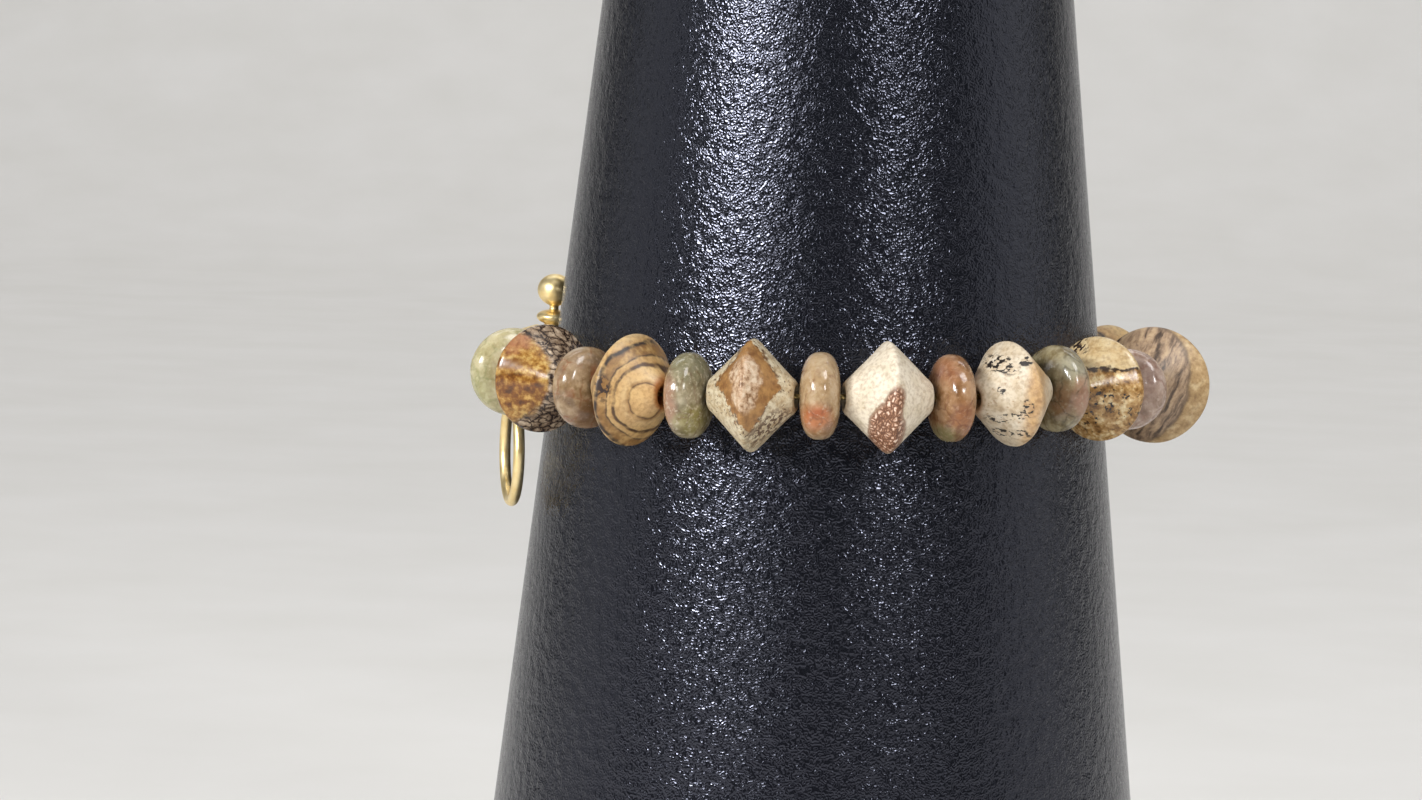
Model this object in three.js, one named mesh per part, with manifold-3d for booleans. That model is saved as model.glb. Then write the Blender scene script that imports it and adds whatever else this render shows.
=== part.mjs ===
// Gemstone bead bracelet with a toggle clasp, closed round a black leatherette display cone.
// Millimetres, +Z up. The cone's axis is the Z axis and its foot stands on z = 0.
// The front is -Y. An angle round the strand is measured from the front, positive to the right.
import * as THREE from "three";
import Module from "manifold-3d";

const wasm = await Module();
wasm.setup();

// ---- driving dimensions ---------------------------------------------------------------------

const CONE = {
  height: 140,
  footRadius: 34.4,
  topRadius: 19.45,
  edgeRound: 1.2,
  sides: 48,
};

const STRAND = {
  radius: 32, // from the strand's own centre to the drill line of the beads
  height: 76, // of the strand's centre above the foot
  offset: -0.3, // the strand hangs a little to the left of the cone's axis
  lean: 0.0174, // rise of the strand towards the right, in radians
  sag: { depth: 2, from: 50, full: 143, until: 205, to: 290 }, // it hangs lower round the back
};

const BICONE = {
  diameter: 10,
  length: 7.8,
  rim: { radius: 1.1, drop: 0.1 }, // domed end round the drill hole
  shoulder: { radius: 1.75, drop: 0.55 }, // where the cone starts
  sides: 16,
};

const RONDELLE = {
  diameter: 7.9,
  length: 3.5,
  fullness: 2.6, // of its section: 2 is an ellipse, and more is squarer
  steps: 8, // facets from one drill hole round the edge to the other
  sides: 16,
};

const HOLE_RADIUS = 0.8;

const THREAD = { radius: 0.25, sides: 6 };

const CRIMP = { radius: 1, length: 1.5, holeRadius: 0.65, bulge: 0.25, sides: 12 };

// The two ends of the thread, each an eye beyond a crimp. Angles are round the strand.
const RING_EYE = {
  crimpAngle: -70.3,
  joinAngle: -72.9, // where the thread meets the near side of the eye
  angle: -75.9, // of the eye's middle
  reach: 30.8,
  halfLength: 2.6,
  halfWidth: 1.6,
};
const BAR_EYE = {
  crimpAngle: 241.9,
  joinAngle: 244.2,
  tipAngle: 251.5, // where the bar hangs
  halfHeight: 1.6,
};

const TOGGLE_RING = {
  angle: -79,
  reach: 29.95, // from the strand's centre out to the ring's plane
  twist: 1.5, // of the hanging ring about the vertical, in degrees
  drop: -8.45, // of the ring's centre from the strand's centre
  radius: 4.75,
  wire: 0.55,
  loop: { halfHeight: 1.9, halfWidth: 1.2, wire: 0.4, drop: -1.5 }, // soldered on top of the ring
};

const TOGGLE_BAR = {
  angle: -108.5,
  reach: 28.35,
  lean: 0.044, // top towards the cone
  rod: 0.85,
  neck: 0.45,
  eye: { from: 28.9, to: 33.1, halfWidth: 1.1, wire: 0.4 },
};

// Swellings of the bar above its middle, repeated below it.
const BAR_SWELLINGS = [
  { name: "collar", centre: 3.35, halfHeight: 0.75, radius: 1.68 },
  { name: "ball", centre: 6.04, halfHeight: 1.58, radius: 1.75 },
];

// Plain oval link that the bar lies across, behind the first beads.
const CLASP_LINK = {
  start: { angle: -76, reach: 32.35 },
  past: { angle: -108.5, reach: 30.1 },
  beyond: 2.5, // length past the second point
  halfHeight: 2.0,
  drop: 0,
  wire: 0.5,
};

// The beads in order from the ring end of the strand, one kind after the other. The first of them
// differ a little from the nominal size and seat; the rest keep it. `out` is off the strand's round,
// `turn` and `tip` are out of line with it, sideways and upwards, in degrees.
const BEAD_ROW = { count: 29, firstAngle: -65.1, pitch: 10.78 };
const FIRST_BEADS = [
  { shape: "rondelle", diameter: 8.2, out: -0.1, lift: 0.25, turn: 2, tip: 2 },
  { shape: "bicone", diameter: 10.0, out: -0.3, lift: 0.1, turn: -2, tip: -2 },
  { shape: "rondelle", diameter: 7.5, out: -0.85, lift: -0.3, turn: 2, tip: 1 },
  { shape: "bicone", diameter: 10.2, out: -0.4, lift: -0.1, turn: -6, tip: -3.5 },
  { shape: "rondelle", diameter: 7.7, out: -0.25, lift: -0.25, turn: 3, tip: 1 },
  { shape: "bicone", diameter: 10.1, out: 0, lift: 0, turn: 0, tip: 0 },
  { shape: "rondelle", diameter: 7.8, out: 0, lift: 0.1, turn: 0, tip: 0 },
  { shape: "bicone", diameter: 10.0, out: 0, lift: 0, turn: 0, tip: 0 },
  { shape: "rondelle", diameter: 7.8, out: -0.3, lift: -0.15, turn: -4, tip: -1 },
  { shape: "bicone", diameter: 9.5, out: -0.3, lift: 0.1, turn: 2.5, tip: 4 },
  { shape: "rondelle", diameter: 7.9, out: -0.9, lift: 0.25, turn: -6, tip: -1 },
  { shape: "bicone", diameter: 9.6, out: -0.65, lift: -0.05, turn: 1, tip: 0 },
  { shape: "rondelle", diameter: 7.5, out: -0.6, lift: -0.4, turn: -3, tip: -1 },
  { shape: "bicone", diameter: 10.9, out: 0.1, lift: -0.2, turn: -5, tip: -1 },
];

// Body colours of the stones, taken in turn.
const JASPER = [0xa9743f, 0xd2a566, 0xd9c39c, 0xe6d8b8, 0xe3cfa4, 0xd3ac6c, 0xa88763];
const AGATE = [0xc9cfa6, 0xa8937f, 0x9d9c83, 0xb9a68d, 0x9a6848, 0x8d9280, 0xa68f80];

// ---- materials ------------------------------------------------------------------------------

const leatherette = new THREE.MeshStandardMaterial({ color: 0x17171c, roughness: 0.5, metalness: 0 });
const goldTone = new THREE.MeshStandardMaterial({ color: 0xd8b468, roughness: 0.2, metalness: 1 });
const beadingWire = new THREE.MeshStandardMaterial({ color: 0xb9a376, roughness: 0.4, metalness: 1 });

function stone(colours, number) {
  const color = colours[number % colours.length];
  return new THREE.MeshStandardMaterial({ color, roughness: 0.2, metalness: 0 });
}

// ---- solids ---------------------------------------------------------------------------------

function manifoldOf(geometry) {
  const plain = geometry.index ? geometry.toNonIndexed() : geometry;
  const mesh = new wasm.Mesh({
    numProp: 3,
    vertProperties: new Float32Array(plain.getAttribute("position").array),
    triVerts: Uint32Array.from({ length: plain.getAttribute("position").count }, (_, i) => i),
  });
  mesh.merge();
  return new wasm.Manifold(mesh);
}

function joined(geometries) {
  const made = wasm.Manifold.union(geometries.map(manifoldOf)).getMesh();
  return new THREE.BufferGeometry()
    .setAttribute("position", new THREE.BufferAttribute(made.vertProperties, 3))
    .setIndex(new THREE.BufferAttribute(made.triVerts, 1))
    .toNonIndexed();
}

// A solid turned round the Z axis from a closed outline of [radius, height] pairs.
function turned(outline, sides) {
  const points = outline.map(([r, z]) => new THREE.Vector2(r, z));
  return new THREE.LatheGeometry(points, sides).rotateX(Math.PI / 2);
}

// A round wire along a path. `up` is square to the path, or nearly so, all the way.
function wireAlong(path, up, radius, sides, closed) {
  const count = path.length;
  const rings = path.map((point, i) => {
    const before = path[closed ? (i + count - 1) % count : Math.max(i - 1, 0)];
    const after = path[closed ? (i + 1) % count : Math.min(i + 1, count - 1)];
    const along = after.clone().sub(before).normalize();
    const side = along.clone().cross(up).normalize();
    const top = side.clone().cross(along);
    return Array.from({ length: sides }, (_, k) => {
      const turn = (2 * Math.PI * (k + 0.5)) / sides;
      return point
        .clone()
        .addScaledVector(side, radius * Math.cos(turn))
        .addScaledVector(top, radius * Math.sin(turn));
    });
  });
  const corners = [];
  const last = closed ? count : count - 1;
  for (let i = 0; i < last; i++) {
    const here = rings[i];
    const next = rings[(i + 1) % count];
    for (let k = 0; k < sides; k++) {
      const m = (k + 1) % sides;
      corners.push(here[k], next[m], here[m], here[k], next[k], next[m]);
    }
  }
  if (!closed) {
    const end = rings[count - 1];
    for (let k = 1; k < sides - 1; k++) {
      corners.push(rings[0][0], rings[0][k], rings[0][k + 1]);
      corners.push(end[0], end[k + 1], end[k]);
    }
  }
  return new THREE.BufferGeometry().setFromPoints(corners);
}

// A closed path in the XY plane: two half circles joined by straight sides along X.
function stadium(halfLength, halfWidth, stepsPerEnd) {
  const straight = halfLength - halfWidth;
  const path = [];
  for (const end of [1, -1]) {
    for (let i = 0; i <= stepsPerEnd; i++) {
      const turn = (i / stepsPerEnd - 0.5) * Math.PI;
      path.push(
        new THREE.Vector3(
          end * (straight + halfWidth * Math.cos(turn)),
          end * halfWidth * Math.sin(turn),
          0,
        ),
      );
    }
  }
  return path;
}

// ---- places on the strand -------------------------------------------------------------------

const UP = new THREE.Vector3(0, 0, 1);

// Level of the strand's drill line at a place, from its own centre.
function strandLevel(x) {
  return STRAND.lean * x;
}

// How far the strand hangs down at an angle: it falls from `from` to `full`, keeps its depth until
// `until` and is back at its own level at `to`.
function sagAt(angle) {
  const { depth, from, full, until, to } = STRAND.sag;
  const fallen = THREE.MathUtils.clamp((angle - from) / (full - from), 0, 1);
  const risen = THREE.MathUtils.clamp((angle - until) / (to - until), 0, 1);
  return (depth * (Math.cos(Math.PI * risen) - Math.cos(Math.PI * fallen))) / 2;
}

// A point given by its angle round the strand, its reach from the centre and its height.
function place(angle, reach, height = null) {
  const turn = THREE.MathUtils.degToRad(angle);
  const x = reach * Math.sin(turn);
  const y = -reach * Math.cos(turn);
  return new THREE.Vector3(x, y, height === null ? strandLevel(x) : height);
}

// The direction of the strand at an angle, towards the right when seen from the front.
function alongStrand(angle) {
  const turn = THREE.MathUtils.degToRad(angle);
  const slope = (sagAt(angle - 1) - sagAt(angle + 1)) / THREE.MathUtils.degToRad(2) / STRAND.radius;
  const rise = STRAND.lean * Math.cos(turn) + slope;
  return new THREE.Vector3(Math.cos(turn), Math.sin(turn), rise).normalize();
}

// The middle of a piece on the strand.
function seat({ angle, out = 0, lift = 0 }) {
  return place(angle, STRAND.radius + out).add(new THREE.Vector3(0, 0, lift - sagAt(angle)));
}

// The direction of a piece's drill hole.
function drillLine({ angle, turn = 0, tip = 0 }) {
  const line = alongStrand(angle).applyAxisAngle(UP, THREE.MathUtils.degToRad(turn));
  return line.add(new THREE.Vector3(0, 0, Math.tan(THREE.MathUtils.degToRad(tip)))).normalize();
}

// Moves a solid that lies along Z to its seat and lays it along the strand.
function threaded(mesh, piece) {
  mesh.quaternion.setFromUnitVectors(UP, drillLine(piece));
  mesh.position.copy(seat(piece));
  return mesh;
}

const bracelet = new THREE.Group();
bracelet.position.set(STRAND.offset, 0, STRAND.height);

function addPiece(name, geometry, material, group = bracelet) {
  const mesh = new THREE.Mesh(geometry, material);
  mesh.name = name;
  group.add(mesh);
  return mesh;
}

// ---- display cone ---------------------------------------------------------------------------

function displayCone() {
  const { height, footRadius, topRadius, edgeRound, sides } = CONE;
  return turned(
    [
      [0, 0],
      [footRadius - edgeRound / 2, 0],
      [footRadius, edgeRound / 2],
      [topRadius, height - edgeRound],
      [topRadius - 0.3 * edgeRound, height - 0.3 * edgeRound],
      [topRadius - edgeRound, height],
      [0, height],
    ],
    sides,
  );
}

// ---- beads ----------------------------------------------------------------------------------

// Two cones base to base with a rounded waist, drilled from end to end.
function bicone(diameter) {
  const { length, rim, shoulder, sides } = BICONE;
  const radius = diameter / 2;
  const half = length / 2;
  const waist = 0.1 * radius;
  const lower = [
    [HOLE_RADIUS, -half],
    [rim.radius, rim.drop - half],
    [shoulder.radius, shoulder.drop - half],
    [radius - 0.4 * waist, -waist],
  ];
  const upper = lower.map(([r, z]) => [r, -z]).reverse();
  return turned([...lower, [radius, 0], ...upper, lower[0]], sides);
}

// A flattened bead of full, rounded section, drilled through the middle.
function rondelle(diameter) {
  const { length, fullness, steps, sides } = RONDELLE;
  const radius = diameter / 2;
  const power = 2 / fullness;
  const start = Math.asin((HOLE_RADIUS / radius) ** (1 / power));
  const outline = Array.from({ length: steps + 1 }, (_, i) => {
    const turn = start + ((Math.PI - 2 * start) * i) / steps;
    const level = Math.cos(turn);
    return [radius * Math.sin(turn) ** power, (-length / 2) * Math.sign(level) * Math.abs(level) ** power];
  });
  return turned([...outline, outline[0]], sides);
}

const MAKERS = { bicone, rondelle };
const COLOURS = { bicone: JASPER, rondelle: AGATE };

function allBeads() {
  return Array.from({ length: BEAD_ROW.count }, (_, i) => {
    const shape = i % 2 ? "bicone" : "rondelle";
    const { diameter } = i % 2 ? BICONE : RONDELLE;
    const angle = BEAD_ROW.firstAngle + BEAD_ROW.pitch * i;
    return { shape, diameter, angle, out: 0, lift: 0, turn: 0, tip: 0, ...FIRST_BEADS[i] };
  });
}

const beads = allBeads();
const counts = { bicone: 0, rondelle: 0 };
for (const bead of beads) {
  const number = counts[bead.shape]++;
  const name = `${bead.shape}_${String(number + 1).padStart(2, "0")}`;
  const mesh = addPiece(name, MAKERS[bead.shape](bead.diameter), stone(COLOURS[bead.shape], number));
  threaded(mesh, bead);
}

// ---- thread and crimps ----------------------------------------------------------------------

// The middle of one flat end of a bead: -1 for the end towards the toggle ring, 1 for the other.
function beadEnd(bead, end) {
  const half = (bead.shape === "bicone" ? BICONE.length : RONDELLE.length) / 2;
  return seat(bead).addScaledVector(drillLine(bead), end * half);
}

// Straight through each bead, with a bend half way between it and the next.
function threadPath() {
  const last = beads.length - 1;
  const bends = beads.slice(1).map((bead, i) => beadEnd(beads[i], 1).lerp(beadEnd(bead, -1), 0.5));
  return [
    place(RING_EYE.joinAngle, STRAND.radius),
    place(RING_EYE.crimpAngle, STRAND.radius),
    beadEnd(beads[0], -1),
    ...bends,
    beadEnd(beads[last], 1),
    seat({ angle: BAR_EYE.crimpAngle }),
    seat({ angle: BAR_EYE.joinAngle }),
  ];
}

// Lying eye of thread, longest square to the strand, that the toggle ring and the link hang on.
function ringEye() {
  const { angle, reach, halfLength, halfWidth } = RING_EYE;
  const outward = place(angle, 1, 0);
  const frame = new THREE.Matrix4()
    .makeBasis(outward, UP.clone().cross(outward), UP)
    .setPosition(place(angle, reach, strandLevel(-STRAND.radius)));
  const path = stadium(halfLength, halfWidth, 6).map((p) => p.applyMatrix4(frame));
  return wireAlong(path, UP, THREAD.radius, THREAD.sides, true);
}

// Upright eye of thread that holds the bar.
function barEye() {
  const near = seat({ angle: BAR_EYE.joinAngle });
  const far = place(BAR_EYE.tipAngle, STRAND.radius, 0);
  const along = far.clone().sub(near).normalize();
  const side = along.clone().cross(UP).normalize();
  const frame = new THREE.Matrix4()
    .makeBasis(along, side.clone().cross(along), side)
    .setPosition(near.clone().add(far).multiplyScalar(0.5));
  const halfLength = near.distanceTo(far) / 2;
  const path = stadium(halfLength, BAR_EYE.halfHeight, 6).map((p) => p.applyMatrix4(frame));
  return wireAlong(path, side, THREAD.radius, THREAD.sides, true);
}

addPiece(
  "thread",
  joined([wireAlong(threadPath(), UP, THREAD.radius, THREAD.sides, false), ringEye(), barEye()]),
  beadingWire,
);

function crimp() {
  const { radius, length, holeRadius, bulge, sides } = CRIMP;
  const half = length / 2;
  return turned(
    [
      [holeRadius, -half],
      [radius - bulge, -half],
      [radius, -half + bulge],
      [radius, half - bulge],
      [radius - bulge, half],
      [holeRadius, half],
      [holeRadius, -half],
    ],
    sides,
  );
}

threaded(addPiece("crimp_ring_side", crimp(), goldTone), { angle: RING_EYE.crimpAngle });
threaded(addPiece("crimp_bar_side", crimp(), goldTone), { angle: BAR_EYE.crimpAngle });

// ---- clasp ----------------------------------------------------------------------------------

// A frame whose X runs along the strand at the angle, whose Y is up and whose Z faces the cone.
function tangentFrame(angle, reach, height) {
  const along = alongStrand(angle).setZ(0).normalize();
  return new THREE.Matrix4()
    .makeBasis(along, UP, along.clone().cross(UP))
    .setPosition(place(angle, reach, height));
}

function toggleRing() {
  const { angle, reach, twist, drop, radius, wire, loop } = TOGGLE_RING;
  const ring = new THREE.TorusGeometry(radius, wire, 8, 26);
  const path = stadium(loop.halfHeight, loop.halfWidth, 5);
  const loopWire = wireAlong(path, new THREE.Vector3(0, 0, 1), loop.wire, 8, true)
    .rotateZ(Math.PI / 2)
    .translate(0, loop.drop - drop, 0);
  const solid = joined([ring, loopWire]).rotateY(THREE.MathUtils.degToRad(twist));
  return solid.applyMatrix4(tangentFrame(angle, reach, drop));
}

function toggleBar() {
  const { angle, reach, lean, rod, neck, eye } = TOGGLE_BAR;
  const steps = 5;
  const upper = [[rod, BAR_SWELLINGS[0].centre - 0.93 * BAR_SWELLINGS[0].halfHeight]];
  for (const { name, centre, halfHeight, radius } of BAR_SWELLINGS) {
    for (let i = 1; i <= steps; i++) {
      const turn = (Math.PI * (i - 0.2)) / steps;
      const r = Math.max(radius * Math.sin(turn), name === "ball" && i === steps ? 0 : neck);
      upper.push([r, centre - halfHeight * Math.cos(turn)]);
    }
  }
  upper.push([0, BAR_SWELLINGS[1].centre + BAR_SWELLINGS[1].halfHeight]);
  const lower = upper.map(([r, z]) => [r, -z]).reverse();
  const bar = turned([...lower, ...upper], 12).rotateX(lean);
  const halfLength = (eye.to - eye.from) / 2;
  const middle = (eye.to + eye.from) / 2 - reach;
  const path = stadium(halfLength, eye.halfWidth, 5).map((p) => new THREE.Vector3(p.y, middle + p.x, p.z));
  const solid = joined([bar, wireAlong(path, UP, eye.wire, 8, true)]);
  return solid.rotateZ(THREE.MathUtils.degToRad(angle - 180)).translate(...place(angle, reach, 0).toArray());
}

function claspLink() {
  const { start, past, beyond, halfHeight, drop, wire } = CLASP_LINK;
  const from = place(start.angle, start.reach, drop);
  const along = place(past.angle, past.reach, drop).sub(from);
  const length = along.length() + beyond;
  along.normalize();
  const frame = new THREE.Matrix4()
    .makeBasis(along, UP, along.clone().cross(UP))
    .setPosition(from.clone().addScaledVector(along, length / 2));
  const path = stadium(length / 2, halfHeight, 6).map((p) => p.applyMatrix4(frame));
  return wireAlong(path, along.clone().cross(UP), wire, 8, true);
}

addPiece("toggle_ring", toggleRing(), goldTone);
addPiece("toggle_bar", toggleBar(), goldTone);
addPiece("clasp_link", claspLink(), goldTone);

// ---- assembly -------------------------------------------------------------------------------

const assembly = new THREE.Group();
addPiece("display_cone", displayCone(), leatherette, assembly);
assembly.add(bracelet);

export default assembly;
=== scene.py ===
import bpy
import bmesh
import math
import numpy as np
from mathutils import Matrix, Vector
from mathutils.bvhtree import BVHTree


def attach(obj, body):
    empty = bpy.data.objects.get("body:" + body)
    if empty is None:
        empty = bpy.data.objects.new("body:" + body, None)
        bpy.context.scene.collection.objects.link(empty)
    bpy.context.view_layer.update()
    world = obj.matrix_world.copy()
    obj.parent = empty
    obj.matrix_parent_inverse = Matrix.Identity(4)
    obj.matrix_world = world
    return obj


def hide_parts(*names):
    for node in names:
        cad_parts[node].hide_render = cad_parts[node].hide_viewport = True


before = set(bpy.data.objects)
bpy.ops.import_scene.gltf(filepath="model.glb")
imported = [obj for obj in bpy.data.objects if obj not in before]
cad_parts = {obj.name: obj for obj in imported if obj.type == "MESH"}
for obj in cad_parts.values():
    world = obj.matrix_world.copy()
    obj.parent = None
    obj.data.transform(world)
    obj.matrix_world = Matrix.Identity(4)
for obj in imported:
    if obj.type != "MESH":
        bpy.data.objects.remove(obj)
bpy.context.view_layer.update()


# ---- the camera ----------------------------------------------------------------------------------
# An eye a little above the bracelet and about 0.4 m in front of it, with a long lens. It is
# turned a little left and down, and rolled by less than 2 degrees. Angles are in degrees.

MM = 0.001
STRAND_CENTRE = Vector((-0.3, 0, 76)) * MM
EYE = {"distance": 395.3 * MM, "rise": 4.76, "pan": -1.562, "tilt": -5.268, "roll": 1.71}

lens = bpy.data.cameras.new("camera")
lens.sensor_width = 36.0
lens.lens = 103.93
lens.clip_start = 0.01
camera = bpy.data.objects.new("camera", lens)
bpy.context.scene.collection.objects.link(camera)
rise, pan, tilt, roll = (math.radians(EYE[k]) for k in ("rise", "pan", "tilt", "roll"))
camera.location = STRAND_CENTRE + EYE["distance"] * Vector((0, -math.cos(rise), math.sin(rise)))
look = Vector((math.sin(pan) * math.cos(tilt), math.cos(pan) * math.cos(tilt), math.sin(tilt)))
level = look.cross(Vector((0, 0, 1))).normalized()
upright = level.cross(look)
right = math.cos(roll) * level + math.sin(roll) * upright
top = math.cos(roll) * upright - math.sin(roll) * level
camera.rotation_euler = Matrix((right, top, -look)).transposed().to_euler()
bpy.context.scene.camera = camera


# ---- the display cone ----------------------------------------------------------------------------
# A bracelet cone covered with black leatherette, glued round the body and rolled in at both
# ends. It stands on its own foot, and the bracelet hangs on it without any fastening.


def corners(name):
    """The corners of a CAD node's solid, one row each, in metres."""
    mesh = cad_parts[name].data
    flat = np.empty(len(mesh.vertices) * 3)
    mesh.vertices.foreach_get("co", flat)
    return flat.reshape(-1, 3)


def linear(colour):
    """An sRGB hex colour as linear RGBA."""
    parts = [((colour >> shift) & 255) / 255 for shift in (16, 8, 0)]
    return (*[p / 12.92 if p <= 0.04045 else ((p + 0.055) / 1.055) ** 2.4 for p in parts], 1.0)


def node(tree, kind, inputs=None, stops=None, **settings):
    """Adds a node with its settings, and sets or links its inputs. Colours are hex, and a node
    given as an input stands for its first output."""
    made = tree.nodes.new(kind)
    for name, value in settings.items():
        setattr(made, name, value)
    for socket, value in (inputs or {}).items():
        target = made.inputs[socket]
        if isinstance(value, bpy.types.Node):
            value = next(output for output in value.outputs if output.enabled)
        if isinstance(value, bpy.types.NodeSocket):
            tree.links.new(value, target)
        elif target.type == "RGBA":
            target.default_value = linear(value)
        else:
            target.default_value = value
    if stops:
        elements = made.color_ramp.elements
        while len(elements) < len(stops):
            elements.new(1.0)
        for element, (position, colour) in zip(elements, stops):
            element.position = position
            element.color = linear(colour)
    return made


def new_material(name):
    """An empty material and its node tree."""
    material = bpy.data.materials.new(name)
    material.use_nodes = True
    material.node_tree.nodes.clear()
    return material, material.node_tree


def surfaced(tree, inputs):
    """Gives a material its surface."""
    shader = node(tree, "ShaderNodeBsdfPrincipled", inputs)
    node(tree, "ShaderNodeOutputMaterial", {"Surface": shader})


def bumped(tree, height, strength, distance):
    """A relief in the surface, from a height and the distance in metres that it stands for."""
    inputs = {"Height": height, "Strength": strength, "Distance": distance}
    return node(tree, "ShaderNodeBump", inputs)


def maths(tree, operation, *inputs):
    """A calculation with one to three numbers."""
    return node(tree, "ShaderNodeMath", dict(enumerate(inputs)), operation=operation)


def mapped(tree, value, span, result=(0.0, 1.0), **settings):
    """One span of a value spread over another, and held at its ends."""
    inputs = {"Value": value, "From Min": span[0], "From Max": span[1]}
    inputs |= {"To Min": result[0], "To Max": result[1]}
    return node(tree, "ShaderNodeMapRange", inputs, **settings)


def ramp(tree, value, stops):
    """A value turned to colour by stops of its level and an sRGB hex colour."""
    return node(tree, "ShaderNodeValToRGB", {"Fac": value}, stops=stops)


def noise(tree, at, grain, detail, seed=None, **inputs):
    """Noise with its grain in the unit of its places. Those with a seed differ by it."""
    inputs |= {"Vector": at, "Scale": 1 / grain, "Detail": detail}
    if seed is None:
        return node(tree, "ShaderNodeTexNoise", inputs)
    return node(tree, "ShaderNodeTexNoise", inputs | {"W": seed}, noise_dimensions="4D")


def turned(outline, sides):
    """A bmesh turned round Z from (radius, height) pairs. The outline has its two ends on the
    axis, or comes back to its start."""
    made = bmesh.new()
    rings = []
    for radius, height in outline:
        count = 1 if radius < 1e-9 else sides
        turns = [2 * math.pi * k / sides for k in range(count)]
        rings.append(
            [made.verts.new((radius * math.cos(t), radius * math.sin(t), height)) for t in turns]
        )
    for low, high in zip(rings, rings[1:]):
        for k in range(sides):
            ring = [low[k % len(low)], low[(k + 1) % len(low)]]
            ring += [high[(k + 1) % len(high)], high[k % len(high)]]
            face = list(dict.fromkeys(ring))
            if len(face) > 2:
                made.faces.new(face)
    return made


WELD = 1e-7  # corners nearer to each other than this, in metres, are one


def add_piece(name, solid, material, cad_node):
    """Makes a smooth piece of a bmesh that stands for a CAD node, and puts it on the one body."""
    bmesh.ops.remove_doubles(solid, verts=solid.verts, dist=WELD)
    bmesh.ops.recalc_face_normals(solid, faces=solid.faces)
    mesh = bpy.data.meshes.new(name)
    solid.to_mesh(mesh)
    solid.free()
    mesh.polygons.foreach_set("use_smooth", [True] * len(mesh.polygons))
    mesh.materials.clear()
    mesh.materials.append(material)
    piece = bpy.data.objects.new(name, mesh)
    bpy.context.scene.collection.objects.link(piece)
    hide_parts(cad_node)
    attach(piece, "root")
    return piece


def leatherette():
    """Embossed PVC leatherette, near black with a blue cast. Its grain of joined, winding pebbles
    is about 0.3 mm across, and their glazed tops catch the lamps as blue-white sparks."""
    material, tree = new_material("embossed_black_leatherette")
    place = node(tree, "ShaderNodeTexCoord").outputs["Object"]
    swell = noise(tree, place, grain=0.3 * MM, detail=0.0)
    crumple = noise(tree, place, grain=1.1 * MM, detail=1.0)
    # the pebbles lie on both sides of a winding groove, where the swell crosses its middle
    pebbles = maths(tree, "ABSOLUTE", maths(tree, "SUBTRACT", swell, 0.5))
    relief = maths(tree, "MULTIPLY_ADD", crumple, 1.4, pebbles)
    surfaced(
        tree,
        {
            # the base colour is a little darker down in the grooves: painted shade in the creases
            "Base Color": ramp(tree, pebbles, [(0.0, 0x050508), (0.06, 0x0D0E12)]),
            "Roughness": mapped(tree, pebbles, (0.0, 0.05), (0.45, 0.14)),
            "Normal": bumped(tree, relief, 1.0, 0.078 * MM),
            "IOR": 1.6,
            "Specular Tint": 0xD6DAF2,
        },
    )
    return material


def display_cone():
    """The cone with rolled edges top and bottom, as the covering is turned in there."""
    solid = corners("display_cone")
    height = solid[:, 2].max()
    reach = np.hypot(solid[:, 0], solid[:, 1])
    foot = reach.max()
    brim = 1.5 * MM
    top = reach[solid[:, 2] > height - brim].max()
    roll = 1.2 * MM
    foot_roll = 0.6 * roll  # the foot is rolled in flatter, under the cone's weight
    steps, levels, sides = 8, 60, 192
    quarter = [math.pi / 2 * i / steps for i in range(steps + 1)]
    outline = [(0, 0.0)]
    outline += [(foot - roll + roll * math.sin(t), foot_roll * (1 - math.cos(t))) for t in quarter]
    for share in (i / levels for i in range(1, levels)):
        outline.append((foot + (top - foot) * share, roll + (height - 2 * roll) * share))
    middle = top - roll, height - roll
    outline += [(middle[0] + roll * math.cos(t), middle[1] + roll * math.sin(t)) for t in quarter]
    outline.append((0, height))
    covering = turned(outline, sides)
    add_piece("cone_covering", covering, leatherette(), "display_cone")


display_cone()


# ---- the beads, turned and drilled ---------------------------------------------------------------
# Fourteen picture jasper bicones and fifteen agate rondelles, ground, drilled from end to end
# and tumbled to a polish. They are strung in turn, and each is held only by the thread in it.


def half_rondelle():
    """Half the outline of a flattened bead, a full oval between an ellipse and a box."""
    mouth, steps, fullness = 0.09, 14, 2 / 2.6
    turns = [mouth + (math.pi / 2 - mouth) * i / steps for i in range(steps + 1)]
    return [(math.sin(t) ** fullness, math.cos(t) ** fullness) for t in turns]


# half of each outline: share of the radius and share of the half length, from the mouth of the
# drill hole out to the waist
BEAD_OUTLINES = {
    "bicone": [
        (0.185, 0.965), (0.205, 0.995), (0.25, 0.99), (0.30, 0.945), (0.35, 0.87), (0.5, 0.68),
        (0.65, 0.492), (0.8, 0.302), (0.87, 0.213), (0.92, 0.15), (0.956, 0.102), (0.98, 0.064),
        (0.995, 0.03), (1.0, 0.0),
    ],
    "rondelle": half_rondelle(),
}


def bead_frame(name):
    """Centre, drill axis, radius and half length of a strung bead, from its CAD solid."""
    solid = corners(name)
    centre = (solid.min(0) + solid.max(0)) / 2
    spread, ways = np.linalg.eigh(np.cov((solid - centre).T))
    odd = 0 if spread[1] - spread[0] > spread[2] - spread[1] else 2
    axis = ways[:, odd]
    if np.cross([centre[0], centre[1], 0.0], axis)[2] < 0:
        axis = -axis
    along = (solid - centre) @ axis
    off = np.linalg.norm((solid - centre) - np.outer(along, axis), axis=1)
    return Vector(centre), Vector(axis), off.max(), along.max()


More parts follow.
